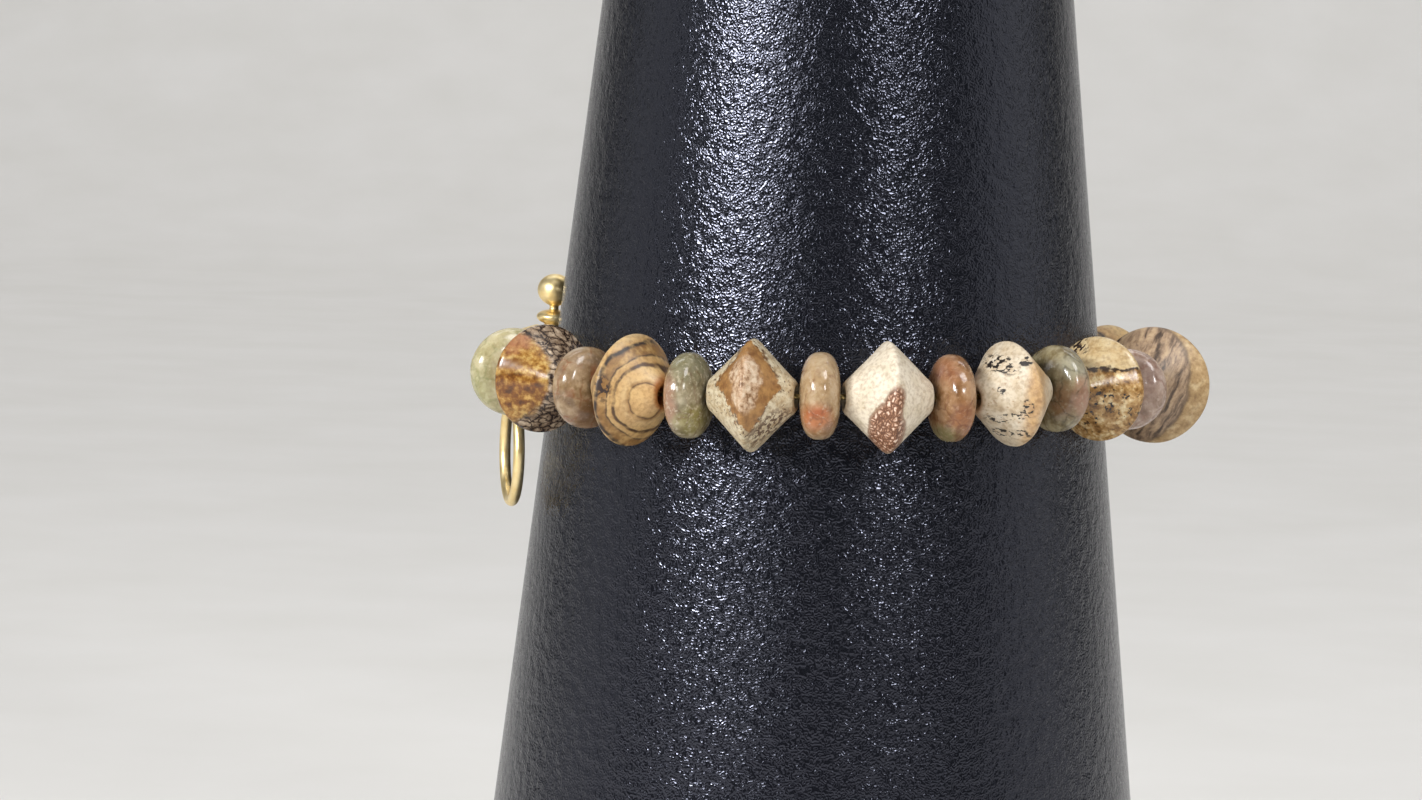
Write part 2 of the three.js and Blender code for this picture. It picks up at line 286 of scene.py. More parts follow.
def outline_object(shape):
    """A closed loop of edges in the XY plane: X is the share of the radius, Y of the length."""
    half = BEAD_OUTLINES[shape]
    loop = [(r, -z) for r, z in half] + [(r, z) for r, z in reversed(half[:-1])]
    mesh = bpy.data.meshes.new(shape + "_outline")
    edges = [(i, (i + 1) % len(loop)) for i in range(len(loop))]
    mesh.from_pydata([(r, z, 0) for r, z in loop], edges, [])
    return bpy.data.objects.new(shape + "_outline", mesh)


def new_shaper(name, **inputs):
    """An empty geometry nodes tree with its inputs by name and kind, and what they give."""
    tree = bpy.data.node_groups.new(name, "GeometryNodeTree")
    for title, kind in ({"Geometry": "Geometry"} | inputs).items():
        title = title.replace("_", " ")
        tree.interface.new_socket(title, in_out="INPUT", socket_type="NodeSocket" + kind)
    tree.interface.new_socket("Geometry", in_out="OUTPUT", socket_type="NodeSocketGeometry")
    return tree, node(tree, "NodeGroupInput").outputs


def bead_tree():
    """Geometry nodes that turn a closed outline round an axis, then wear it a little uneven."""
    sizes = dict(Radius="Float", Half_Length="Float", Unevenness="Float", Seed="Float")
    tree, given = new_shaper("turned_bead", **sizes, Sides="Int", Stone="Material")
    outline = node(tree, "GeometryNodeMeshToCurve", {"Mesh": given["Geometry"]})
    size = node(tree, "ShaderNodeCombineXYZ", {0: given["Radius"], 1: given["Half Length"], 2: 1.0})
    back = maths(tree, "MULTIPLY", given["Radius"], -1.0)
    shift = node(tree, "ShaderNodeCombineXYZ", {0: back})
    profile = node(
        tree, "GeometryNodeTransform", {"Geometry": outline, "Translation": shift, "Scale": size}
    )
    waist = node(
        tree,
        "GeometryNodeCurvePrimitiveCircle",
        {"Resolution": given["Sides"], "Radius": given["Radius"]},
        mode="RADIUS",
    )
    body = node(tree, "GeometryNodeCurveToMesh", {"Curve": waist, "Profile Curve": profile})
    ripple = node(
        tree,
        "ShaderNodeTexNoise",
        {"Scale": 1 / (3.8 * MM), "Detail": 1.0, "W": given["Seed"]},
        noise_dimensions="4D",
    )
    centred = node(
        tree,
        "ShaderNodeVectorMath",
        {0: ripple.outputs["Color"], 1: (0.5, 0.5, 0.5)},
        operation="SUBTRACT",
    )
    worn = node(
        tree, "ShaderNodeVectorMath", {0: centred, "Scale": given["Unevenness"]}, operation="SCALE"
    )
    moved = node(tree, "GeometryNodeSetPosition", {"Geometry": body, "Offset": worn})
    real = node(tree, "GeometryNodeRealizeInstances", {"Geometry": moved})
    dressed = node(
        tree, "GeometryNodeSetMaterial", {"Geometry": real, "Material": given["Stone"]}
    )
    node(tree, "NodeGroupOutput", {0: dressed})
    return tree


def finished(maker):
    """What an object's modifiers make of it, as a bmesh. The object itself goes."""
    graph = bpy.context.evaluated_depsgraph_get()
    result = bpy.data.meshes.new_from_object(maker.evaluated_get(graph), depsgraph=graph)
    bpy.data.objects.remove(maker)
    solid = bmesh.new()
    solid.from_mesh(result)
    bpy.data.meshes.remove(result)
    return solid


def grown(maker, tree, wanted):
    """Runs a geometry nodes tree with its named inputs and gives the result as a bmesh."""
    bpy.context.scene.collection.objects.link(maker)
    modifier = maker.modifiers.new("make", "NODES")
    modifier.node_group = tree
    for item in tree.interface.items_tree:
        if item.in_out == "INPUT" and item.name in wanted:
            modifier[item.identifier] = wanted[item.name]
    return finished(maker)


BEAD_TREE = bead_tree()
OUTLINES = {shape: outline_object(shape) for shape in BEAD_OUTLINES}


def skin(name):
    """The outside of a CAD node's solid, to measure from."""
    faces = [face.vertices[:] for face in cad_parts[name].data.polygons]
    return BVHTree.FromPolygons([Vector(corner) for corner in corners(name)], faces)


def snug(name):
    """How much longer than its solid a bead is at each end, so that it meets its neighbours: half
    the smaller gap beside it, less what the beads' unevenness fills."""
    wear, most = 0.05 * MM, 0.13 * MM
    shape, number = name.split("_")
    other, first = ("rondelle", int(number)) if shape == "bicone" else ("bicone", int(number) - 1)
    here, gaps = skin(name), []
    for near in ("%s_%02d" % (other, first + i) for i in range(2)):
        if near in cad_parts:
            there = skin(near)
            gaps += [there.find_nearest(corner)[3] for corner in corners(name)]
            gaps += [here.find_nearest(corner)[3] for corner in corners(near)]
    return min(min(gaps) / 2 - wear, most)


def thread_on(solid, centre, axis):
    """Moves a bmesh made round Z to its centre and drill axis on the wire."""
    turn = Vector((0, 0, 1)).rotation_difference(axis).to_matrix().to_4x4()
    solid.transform(Matrix.Translation(centre) @ turn)


def make_bead(name, stone, seed):
    """One bead from the geometry nodes, laid on its place in the strand."""
    shape = name.split("_")[0]
    centre, axis, radius, half = bead_frame(name)
    wanted = {
        "Radius": radius,
        "Half Length": half + snug(name),
        "Unevenness": 0.16 * MM,
        "Seed": float(seed),
        "Sides": 72,
        "Stone": stone,
    }
    solid = grown(OUTLINES[shape].copy(), BEAD_TREE, wanted)
    thread_on(solid, centre, axis)
    add_piece("bead_" + name, solid, stone, name)


# ---- what all the stones share: a place in the bead, waviness, blotches and a polish -------------
# Each pattern is cut in millimetres from the bead's own centre: X to the right, Y inwards and
# Z up as the bead with that pattern at the front is seen. A bead further round has it turned
# with it.


def round_angle(name):
    """How far round the strand a bead sits, from the front, in radians."""
    centre = bead_frame(name)[0] - STRAND_CENTRE
    return math.atan2(centre.x, -centre.y)


def in_bead(tree, name, like):
    """The place inside a bead, in millimetres, turned as the bead `like` is seen."""
    place = node(tree, "ShaderNodeTexCoord").outputs["Object"]
    turn = round_angle(name) - round_angle(like)
    inputs = {"Vector": place, "Location": bead_frame(name)[0]}
    inputs |= {"Rotation": (0, 0, turn), "Scale": (MM,) * 3}
    return node(tree, "ShaderNodeMapping", inputs, vector_type="TEXTURE")


def wavy(tree, at, grain, amount, seed=0.0):
    """The same places, pushed about by a noise whose grain is in millimetres."""
    push = noise(tree, at, grain, detail=3.0, seed=seed).outputs["Color"]
    way = node(tree, "ShaderNodeVectorMath", {0: push, 1: (0.5,) * 3}, operation="SUBTRACT")
    inputs = {0: way, 1: (amount * 2,) * 3, 2: at}
    return node(tree, "ShaderNodeVectorMath", inputs, operation="MULTIPLY_ADD")


def how_far(tree, local):
    """How far a place is from the middle of its own space."""
    return node(tree, "ShaderNodeVectorMath", {0: local}, operation="LENGTH").outputs["Value"]


def cloud(tree, at, grain, stops, seed=0.0, rough=0.6):
    """Mottled colour from a noise whose grain is in millimetres."""
    return ramp(tree, noise(tree, at, grain, detail=5.0, seed=seed, Roughness=rough), stops)


def over(tree, share, under, upper):
    """One colour over another, by a share from 0 to 1."""
    return node(tree, "ShaderNodeMix", {0: share, 6: under, 7: upper}, data_type="RGBA")


def shaded(tree, share, colour, shade):
    """A colour darkened by another one, by a share from 0 to 1."""
    inputs = {0: share, 6: colour, 7: shade}
    return node(tree, "ShaderNodeMix", inputs, data_type="RGBA", blend_type="MULTIPLY")


def inside(tree, at, centre, size, edge=0.25, lean=0.0, power=1.0):
    """A share that is 1 inside an ellipsoid and falls off at its edge. Its size is in
    millimetres and it leans to the right by an angle in degrees."""
    inputs = {"Vector": at, "Location": centre, "Rotation": (0, math.radians(lean), 0)}
    local = node(tree, "ShaderNodeMapping", inputs | {"Scale": size}, vector_type="TEXTURE")
    span = (1 - edge, 1 + edge)
    return mapped(
        tree, how_far(tree, local), span, (power, 0.0), interpolation_type="SMOOTHSTEP"
    )


def both(tree, one, other):
    """The product of two shares."""
    return maths(tree, "MULTIPLY", one, other)


def spots(tree, at, grain, least, seed=0.0, detail=2.0, soft=0.03):
    """A share that is 1 in the peaks of a noise whose grain is in millimetres."""
    peaks = noise(tree, at, grain, detail, seed, Roughness=0.55)
    return mapped(tree, peaks, (least - soft, least + soft), interpolation_type="SMOOTHSTEP")


def squeezed(tree, at, size, lean=0.0):
    """The same places, stretched by a size and leaning to the right, for grain that runs."""
    inputs = {"Vector": at, "Rotation": (0, math.radians(lean), 0), "Scale": size}
    return node(tree, "ShaderNodeMapping", inputs, vector_type="TEXTURE")


def cells(tree, at, grain):
    """The distance from the nearest edge between cells, for crusts, nets and veins."""
    inputs = {"Vector": at, "Scale": 1 / grain}
    return node(tree, "ShaderNodeTexVoronoi", inputs, feature="DISTANCE_TO_EDGE")


def polished(tree, at, colour, gloss, depth, mottle, waxy=0.0):
    """The stone's surface: a tumbled polish that dulls and pits a little with its fine grain.
    The depth is in millimetres."""
    fine = noise(tree, at, grain=0.35, detail=4.0)
    grain = ramp(tree, fine, [(0.35, 0xD8D0C8), (0.55, 0xFFFFFF)])
    colour = shaded(tree, mottle, colour, grain)
    height = both(tree, node(tree, "ShaderNodeRGBToBW", {0: colour}), fine)
    inputs = {
        "Base Color": colour,
        "Roughness": mapped(tree, fine, (0.3, 0.7), (gloss, gloss + 0.08)),
        "Normal": bumped(tree, height, 0.5, depth * MM),
        "IOR": 1.54,
    }
    if waxy:
        inputs |= {"Subsurface Weight": waxy, "Subsurface Scale": 0.9 * MM}
        inputs |= {"Subsurface Radius": (1.0, 0.8, 0.6)}
    surfaced(tree, inputs)


# ---- the picture jaspers -------------------------------------------------------------------------
# Opaque silica stone in creams, tans and browns, each with its own scene of bands, rings and
# blotches. Two of the kinds take a high polish, and the others stay waxy with soft highlights.


def rust_brown(tree, at):
    """Tan and gold mottles round a rust-brown field, with a crumbly dark crust."""
    bent = wavy(tree, wavy(tree, at, 1.8, 0.8), 0.5, 0.2)
    golds = [(0.34, 0x67421A), (0.46, 0x986D33), (0.56, 0xB79454), (0.66, 0xC9AF73)]
    rusts = [(0.36, 0x492807), (0.48, 0x724310), (0.57, 0x926628), (0.66, 0xBC9652)]
    gold = cloud(tree, at, 0.6, golds)
    rust = cloud(tree, at, 0.7, rusts, seed=4.0)
    field = inside(tree, bent, (-2.4, -2, -1.1), (3.4, 9, 1.7), 0.15)
    top = inside(tree, bent, (-3.0, -2, 1.6), (1.6, 9, 0.6), 0.5, power=0.8)
    pink = inside(tree, bent, (-2.4, -2, 3.6), (1.6, 9, 1.0), 0.5, power=0.7)
    tan = over(tree, pink, over(tree, top, over(tree, field, gold, rust), 0x6B3D14), 0x9C6A50)
    broken = squeezed(tree, wavy(tree, wavy(tree, at, 0.8, 0.5), 0.3, 0.24), (1.6, 1, 0.7), 25)
    crust = ramp(
        tree,
        cells(tree, broken, 0.85),
        [(0.0, 0x2A1E15), (0.05, 0x4C3B2F), (0.12, 0x94806A), (0.4, 0xD6C2A8)],
    )
    shade = cloud(tree, at, 0.9, [(0.36, 0x7C6857), (0.6, 0xFFFFFF)], seed=9.0)
    crust = shaded(tree, 0.85, crust, shade)
    bare = inside(tree, bent, (-3.0, -2, 0.3), (3.9, 9, 4.0), 0.06)
    return over(tree, bare, crust, tan)


def banded_yellow(tree, at):
    """Yellow-tan with dark brown rings, widening from a spot right of the middle."""
    span = 6  # millimetres, from the middle of the rings outwards
    bent = wavy(tree, wavy(tree, at, 2.6, 0.45), 0.6, 0.1)
    inputs = {"Vector": bent, "Location": (1.3, -3, -0.6), "Scale": (1.0, 4.0, 1.12)}
    local = node(tree, "ShaderNodeMapping", inputs, vector_type="TEXTURE")
    rings = ramp(
        tree,
        maths(tree, "MULTIPLY", how_far(tree, local), 1 / span),
        [
            (0.0, 0xCCAE7D), (0.10, 0xC9A774), (0.222, 0xC6A570), (0.245, 0x604327),
            (0.262, 0xA88656), (0.31, 0xCCAF7F), (0.44, 0xC8A874), (0.462, 0x49311A),
            (0.488, 0x5D4226), (0.508, 0xB89661), (0.56, 0xC1A06C), (0.58, 0x3F2B19),
            (0.598, 0x8D6B41), (0.63, 0x96733F), (0.71, 0x8E6A3C), (0.738, 0x291C13),
            (0.765, 0x36261B), (0.79, 0xB79563), (0.88, 0xC9B38A), (1.0, 0xCFBE9B),
        ],
    )
    tint = cloud(tree, at, 1.4, [(0.35, 0xE6DACC), (0.65, 0xFFFFFF)], seed=2.0)
    rings = shaded(tree, 1.0, rings, tint)
    faded = both(tree, spots(tree, at, 1.0, 0.56, seed=3.0, soft=0.12), 0.55)
    rings = over(tree, faded, rings, 0xCFAB72)
    # an orange-brown darkening at the right end, where the rounded end turns from the light:
    # painted shade
    painted_end_shade = inside(tree, bent, (2.75, -2, 0.15), (0.75, 9, 1.5), 0.3, power=0.85)
    knot = both(
        tree, inside(tree, bent, (-2.6, -2, 0.5), (0.8, 9, 1.3), 0.5), spots(tree, at, 0.5, 0.5)
    )
    return over(tree, knot, over(tree, painted_end_shade, rings, 0xA5652B), 0x2E1E18)


def ringed_cream(tree, at):
    """Speckled cream with a jagged orange-brown ring round a pink and cream heart."""
    bent = wavy(tree, wavy(tree, wavy(tree, at, 1.8, 0.75), 0.6, 0.4), 0.25, 0.16)
    outer = inside(tree, bent, (-0.3, -2, 1.0), (2.9, 9, 4.6), 0.03, lean=-4)
    inputs = {"Vector": bent, "Location": (-0.3, 0, 1.1), "Scale": (1.0, 1.0, 1.45)}
    local = node(tree, "ShaderNodeMapping", inputs, vector_type="TEXTURE")
    plain = node(tree, "ShaderNodeVectorMath", {0: local}, operation="ABSOLUTE")
    slopes = {0: plain, 1: (0.25, 0.0, 0.25)}
    far = node(tree, "ShaderNodeVectorMath", slopes, operation="DOT_PRODUCT").outputs["Value"]
    ground = cloud(tree, at, 0.6, [(0.3, 0x927751), (0.4, 0xB7A381), (0.56, 0xCCC0A4)])
    heart = cloud(tree, at, 0.45, [(0.36, 0x7D5A37), (0.46, 0xB79777), (0.62, 0xD0BBA1)], seed=3.0)
    band = cloud(tree, at, 0.9, [(0.35, 0x7C5227), (0.65, 0xA67C46)], seed=5.0)
    flecks = both(tree, spots(tree, at, 0.3, 0.64, seed=7.0), 0.9)
    ground = over(tree, flecks, ground, 0x5A4029)
    lower = inside(tree, bent, (1.6, -2, -2.5), (2.4, 9, 0.9), 0.5, lean=-40)
    crumbs = both(tree, lower, spots(tree, at, 0.42, 0.5, seed=8.0))
    ground = over(tree, crumbs, ground, 0x5C4128)
    edge = mapped(tree, far, (0.74, 0.71))
    core = inside(tree, bent, (-0.6, -2, 1.25), (1.3, 9, 2.35), 0.12, lean=3)
    ring = both(tree, edge, outer)
    halo = mapped(tree, far, (0.81, 0.74))
    broken = both(tree, halo, spots(tree, at, 0.5, 0.5, seed=6.0, soft=0.06))
    body = over(tree, ring, over(tree, broken, ground, 0x5A3E24), band)
    return over(tree, core, body, heart)


def mottled_ivory(tree, at):
    """Plain ivory with one drop of netted purple-brown and pinkish white."""
    bent = wavy(tree, wavy(tree, at, 1.0, 0.22), 0.35, 0.14)
    ground = cloud(tree, at, 1.5, [(0.3, 0xCCBFA4), (0.5, 0xDBCFBA), (0.7, 0xE3D9C6)])
    faint = spots(tree, squeezed(tree, at, (1.6, 1, 0.5)), 0.6, 0.66, seed=1.0, soft=0.06)
    ground = over(tree, both(tree, faint, 0.35), ground, 0xB08D5C)
    netted = squeezed(tree, wavy(tree, at, 0.5, 0.4), (0.8, 1, 1.3), 30)
    marks = ramp(
        tree,
        cells(tree, netted, 0.46),
        [(0.0, 0x5E3A24), (0.11, 0x7E5236), (0.22, 0xB4896C), (0.36, 0xE6CFBC)],
    )
    shares = []
    for grow in (1.0, 1.14):
        lower = inside(tree, bent, (-0.05, -2, -2.5), (1.45 * grow, 9, 2.25 * grow), 0.06, lean=6)
        upper = inside(tree, bent, (0.45, -2, -0.6), (0.85 * grow, 9, 1.95 * grow), 0.1, lean=14)
        shares.append(maths(tree, "MAXIMUM", lower, upper))
    edge = both(tree, shares[1], 0.8)
    return over(tree, shares[0], over(tree, edge, ground, 0x83593A), marks)


def dashed_cream(tree, at):
    """Cream with broken rows of black dashes and an ochre band to the right."""
    bent = wavy(tree, at, 1.5, 0.4)
    ground = cloud(tree, at, 1.3, [(0.3, 0xBBA584), (0.5, 0xCEBFA6), (0.68, 0xD6CBB7)])
    band = inside(tree, bent, (2.2, -2, 0.2), (0.85, 9, 5.5), 0.6, lean=6, power=0.75)
    left = inside(tree, bent, (-3.9, -2, -0.6), (1.1, 9, 3.0), 0.6, power=0.85)
    ochre = cloud(tree, at, 0.6, [(0.35, 0x9B6C30), (0.6, 0xC09454)], seed=3.0)
    ground = over(tree, left, over(tree, band, ground, ochre), 0x9C6A34)
    specks = spots(tree, at, 0.45, 0.66, seed=4.0)
    ground = over(tree, both(tree, specks, 0.5), ground, 0x9A7040)
    rows = None
    for centre, size, lean in (
        ((-0.9, -2, 2.7), (1.7, 9, 0.75), 8),
        ((1.2, -2, 3.1), (0.6, 9, 0.5), 0),
        ((-0.2, -2, -1.9), (2.2, 9, 0.5), -8),
        ((1.5, -2, -0.9), (0.5, 9, 0.8), 0),
        ((0.0, -2, -3.35), (2.0, 9, 0.35), 2),
        ((-0.9, -2, 0.6), (0.4, 9, 0.4), 0),
    ):
        row = inside(tree, bent, centre, size, 0.2, lean=lean)
        rows = row if rows is None else maths(tree, "MAXIMUM", rows, row)
    dash = spots(tree, squeezed(tree, at, (1.0, 1.0, 0.55)), 0.55, 0.54, seed=6.0)
    return over(tree, both(tree, rows, dash), ground, 0x241C16)


def veined_cream(tree, at):
    """Cream above a dark broken vein, ochre with black specks below it."""
    bent = wavy(tree, wavy(tree, at, 1.6, 1.0), 0.45, 0.35)
    upper = cloud(tree, at, 1.1, [(0.3, 0xAB8B5B), (0.5, 0xC0A97F), (0.68, 0xC9B794)])
    ochres = [(0.34, 0x5C4020), (0.44, 0x8C6636), (0.54, 0xB4915D), (0.65, 0xD9C69C)]
    lower = cloud(tree, at, 0.8, ochres, seed=2.0)
    leaning = squeezed(tree, bent, (1, 1, 1), -6)
    level = node(tree, "ShaderNodeSeparateXYZ", {0: leaning}).outputs["Z"]
    body = over(tree, mapped(tree, level, (1.75, 2.05)), lower, upper)
    away = maths(tree, "ABSOLUTE", maths(tree, "SUBTRACT", level, 1.9))
    vein = mapped(tree, away, (0.08, 0.24), (1.0, 0.0))
    vein = both(tree, vein, spots(tree, at, 0.9, 0.4, seed=5.0, soft=0.08))
    body = over(tree, vein, body, 0x3A2A1C)
    below = inside(tree, bent, (0, -2, -1.5), (4, 9, 2.4), 0.3)
    specks = both(tree, spots(tree, at, 0.42, 0.6, seed=8.0), below)
    body = over(tree, specks, body, 0x1E1712)
    crack = both(
        tree,
        inside(tree, bent, (-1.9, -2, 3.9), (0.9, 9, 0.8), 0.3),
        spots(tree, squeezed(tree, at, (0.5, 1, 1.3), 30), 0.5, 0.52, seed=9.0),
    )
    return over(tree, crack, body, 0x2E2219)


def wood_grain(tree, at):
    """Grey-brown ridges that run up to the right like split wood, in a cream and ochre rim."""
    bent = wavy(tree, at, 1.7, 0.4)
    ridges = noise(tree, squeezed(tree, bent, (0.4, 1.4, 3.4), 24), grain=1.0, detail=5.0)
    woods = [(0.34, 0x48382C), (0.42, 0x745F4B), (0.5, 0x998067), (0.66, 0xB59B7B)]
    wood = ramp(tree, ridges, woods)
    rim = cloud(tree, at, 1.0, [(0.3, 0x8E7048), (0.5, 0xB09266), (0.68, 0xC9B28A)], seed=3.0)
    core = inside(tree, bent, (-1.7, -2, 0.1), (4.6, 9, 6.0), 0.06, lean=18)
    edge = inside(tree, bent, (-1.7, -2, 0.1), (4.8, 9, 6.25), 0.05, lean=18, power=0.9)
    return over(tree, core, over(tree, edge, rim, 0x4A382C), wood)


# ---- the agates ----------------------------------------------------------------------------------
# Waxy, slightly see-through quartz in greens, greys and pinks, with clouds, thin iron veins and
# milky flecks. It takes a high polish, so each lamp shows as a small bright spot.


def agate(tree, at, ground, stains_and_sheen, vein, fleck):
    """Clouded body colours, stain marks and painted sheen at their places, broken veins and flecks.
    """
    bent = wavy(tree, at, 1.5, 0.5)
    levels = (0.32, 0.47, 0.62)
    body = cloud(tree, bent, 1.3, list(zip(levels, ground)), rough=0.55)
    for centre, size, colour, power in stains_and_sheen:
        mark = inside(tree, bent, centre, size, 0.55, power=power)
        body = over(tree, mark, body, colour)
    threads = cells(tree, wavy(tree, at, 0.9, 0.5, seed=3.0), 2.2)
    thin = mapped(tree, threads, (0.0, 0.07), (vein[1], 0.0))
    broken = both(tree, thin, spots(tree, at, 1.2, 0.46, seed=5.0, soft=0.1))
    body = over(tree, broken, body, vein[0])
    milky = both(tree, spots(tree, at, 0.4, 0.6, seed=6.0, detail=5.0, soft=0.1), fleck[1])
    return over(tree, milky, body, fleck[0])


# each kind: body colours, stain marks and painted sheen by place, size, colour and strength, and
# the colour and strength of the veins and of the flecks
AGATES = {
    "pale_green": dict(
        ground=[0x938961, 0xAFA57E, 0xC0B795],
        stains_and_sheen=[
            ((2.2, -2, 0), (1.6, 9, 4), 0xB09A86, 0.8),
            ((-2.8, -2, -1.6), (1.0, 9, 1.6), 0x98966A, 0.6),
        ],
        vein=(0x7A7E50, 0.5),
        fleck=(0xD6D0B0, 0.3),
    ),
    "pink_grey": dict(
        ground=[0x685038, 0x887052, 0xA89376],
        stains_and_sheen=[
            ((-1.4, -2, 2.4), (1.8, 9, 1.5), 0x8E7860, 0.6),
            ((0.6, -2, -2.6), (1.8, 9, 1.4), 0x7C5A3E, 0.6),
            ((0.7, -2, 0.9), (0.3, 9, 1.3), 0x94502F, 0.55),
        ],
        vein=(0x7E4628, 0.6),
        fleck=(0xBFAA92, 0.3),
    ),
    "moss_grey": dict(
        ground=[0x615842, 0x82785E, 0xA0967D],
        stains_and_sheen=[
            ((0, -2, 3.0), (2.0, 9, 1.3), 0x777458, 0.7),
            # the pinkish patch on the left flank is painted sheen, the broad reflection of the
            # lamps on the left
            ((-1.9, -2, -0.6), (0.8, 9, 2.4), 0x9C765F, 0.8),
            ((0.3, -2, -2.0), (1.3, 9, 1.3), 0x938948, 0.6),
        ],
        vein=(0x65442E, 0.5),
        fleck=(0xC1B79F, 0.65),
    ),
    "beige": dict(
        ground=[0x8A6E4E, 0xA48966, 0xB29B7C],
        stains_and_sheen=[
            ((0, -2, 3.2), (1.6, 9, 1.0), 0xB29B7A, 0.7),
            ((-0.3, -2, -1.7), (1.3, 9, 1.2), 0xB26737, 0.85),
            ((-0.2, -2, -1.1), (0.8, 9, 0.35), 0x9C4F27, 0.7),
        ],
        vein=(0x7A4F32, 0.6),
        fleck=(0xC0AE93, 0.5),
    ),
    "red_brown": dict(
        ground=[0x66462A, 0x8A6543, 0xA38160],
        stains_and_sheen=[
            ((1.1, -2, -1.6), (1.0, 9, 1.5), 0x92582A, 0.7),
            ((-0.8, -2, -3.4), (1.6, 9, 1.0), 0x7B7650, 0.85),
            ((-0.6, -2, 2.6), (1.2, 9, 1.1), 0x946247, 0.6),
        ],
        vein=(0x63331B, 0.6),
        fleck=(0xB7997D, 0.4),
    ),
    "smoky_green": dict(
        ground=[0x5C5034, 0x7B6D4F, 0x988D6E],
        stains_and_sheen=[
            ((0.6, -2, -0.8), (1.4, 9, 1.5), 0x7E583E, 0.7),
            ((2.2, -2, -0.4), (0.7, 9, 2.0), 0x9C7662, 0.8),
            ((-1.6, -2, 0.4), (1.3, 9, 2.6), 0x443E26, 0.6),
            ((1.2, -2, 2.2), (1.4, 9, 1.0), 0x9C9A88, 0.6),
        ],
        vein=(0x36301E, 0.6),
        fleck=(0xB0AC94, 0.3),
    ),
    "pink_brown": dict(
        ground=[0x7E6656, 0x9C8474, 0xB6A294],
        stains_and_sheen=[((1.2, -2, 1.2), (1.4, 9, 1.6), 0xA8928A, 0.6)],
        vein=(0x7C5040, 0.5),
        fleck=(0xC6B4A8, 0.4),
    ),
}
HIGH_POLISH, LOW_POLISH = 0.17, 0.4  # roughness
JASPERS = [
    (rust_brown, HIGH_POLISH),
    (banded_yellow, LOW_POLISH),
    (ringed_cream, LOW_POLISH),
    (mottled_ivory, LOW_POLISH),
    (dashed_cream, LOW_POLISH),
    (veined_cream, HIGH_POLISH),
    (wood_grain, LOW_POLISH),
]


def stone(name, number):
    """The stone of one bead: its kinds are taken in turn along the strand."""
    kind = (number - 1) % len(JASPERS)
    like = name[:-2] + "%02d" % (kind + 1)
    if name.startswith("bicone"):
        recipe, gloss = JASPERS[kind]
        material, tree = new_material("picture_jasper_%s_%02d" % (recipe.__name__, number))
        at = in_bead(tree, name, like)
        polished(tree, at, recipe(tree, at), gloss, depth=0.05, mottle=0.8)
    else:
        title, recipe = list(AGATES.items())[kind]
        material, tree = new_material("agate_%s_%02d" % (title, number))
        at = in_bead(tree, name, like)
        colour = agate(tree, at, **recipe)
        polished(tree, at, colour, gloss=0.12, depth=0.02, mottle=0.4, waxy=0.3)
    return material


for name in sorted(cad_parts):
    if name.startswith(("bicone_", "rondelle_")):
        number = int(name[-2:])
        make_bead(name, stone(name, number), seed=number)


# ---- the beading wire and its crimps -------------------------------------------------------------
# One length of gold-coloured beading wire, twisted from fine strands and coated with nylon. It
# runs through every bead, and each end turns back in a small eye that a crimp bead holds.


def beading_wire():
    """Nylon-coated twisted wire: the fine strands give thin slanting lights and darks."""
    material, tree = new_material("nylon_coated_gold_beading_wire")
    place = node(tree, "ShaderNodeTexCoord").outputs["Object"]
    inputs = {"Vector": place, "Scale": 1 / (0.9 * MM), "Distortion": 0.6}
    wave = node(tree, "ShaderNodeTexWave", inputs, bands_direction="DIAGONAL")
    strands = wave.outputs["Fac"]
    surfaced(
        tree,
        {
            "Base Color": ramp(tree, strands, [(0.2, 0x7E6A3E), (0.7, 0xC7AE74)]),
            "Roughness": mapped(tree, strands, (0.0, 1.0), (0.42, 0.3)),
            "Normal": bumped(tree, strands, 0.6, 0.04 * MM),
            "Metallic": 0.85,
        },
    )
    return material


def strung_wire():
    """The wire with its six-sided solid rounded off. Smoothing draws the section in by a sixth,
    so it is first let out by a fifth of its radius."""
    let_out = 0.25 * MM / 5
    solid = bmesh.new()
    solid.from_mesh(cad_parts["thread"].data)
    bmesh.ops.remove_doubles(solid, verts=solid.verts, dist=WELD)
    flat_enough = {"angle_face_threshold": math.radians(12), "angle_shape_threshold": 3.0}
    bmesh.ops.join_triangles(solid, faces=solid.faces, **flat_enough)
    solid.normal_update()
    outward = [v.normal.copy() for v in solid.verts]
    for vert, way in zip(solid.verts, outward):
        vert.co += way * let_out
    strand = add_piece("strung_beading_wire", solid, beading_wire(), "thread")
    rounding = strand.modifiers.new("rounding", "SUBSURF")
    rounding.levels = rounding.render_levels = 2


strung_wire()


def gold_plate():
    """Polished pale yellow gold plate on brass, with the faint haze of handling."""
    material, tree = new_material("polished_pale_gold_plate")
    place = node(tree, "ShaderNodeTexCoord").outputs["Object"]
    haze = noise(tree, place, grain=0.9 * MM, detail=5.0)
    surfaced(
        tree,
        {
            "Base Color": ramp(tree, haze, [(0.35, 0xEED394), (0.65, 0xF7E3B0)]),
            "Roughness": mapped(tree, haze, (0.3, 0.7), (0.34, 0.46)),
            "Normal": bumped(tree, haze, 0.3, 0.02 * MM),
            "Metallic": 1.0,
        },
    )
    return material


GOLD = gold_plate()


def crimp(name):
    """A crimp bead pressed to a rounded barrel, laid on its CAD solid's place and axis."""
    centre, axis, radius, half = bead_frame(name)
    hole, shoulder, steps = 0.42 * MM, 0.78 * radius, 16
    barrel = []
    for t in (math.pi * i / steps for i in range(steps + 1)):
        swell = max(math.sin(t), 0.0) ** 0.5
        barrel.append((shoulder + (radius - shoulder) * swell, -half * math.cos(t)))
    made = turned([(hole, -half), *barrel, (hole, half), (hole, -half)], 32)
    thread_on(made, centre, axis)
    add_piece(name + "_barrel", made, GOLD, name)


crimp("crimp_ring_side")
crimp("crimp_bar_side")


# ---- the toggle clasp ----------------------------------------------------------------------------
# A cast ring, a turned bar with a ball and a collar at each end, and a plain oval link, all of
# gold-plated brass. Ring and link hang on the wire's lying eye, and the bar on its upright eye.


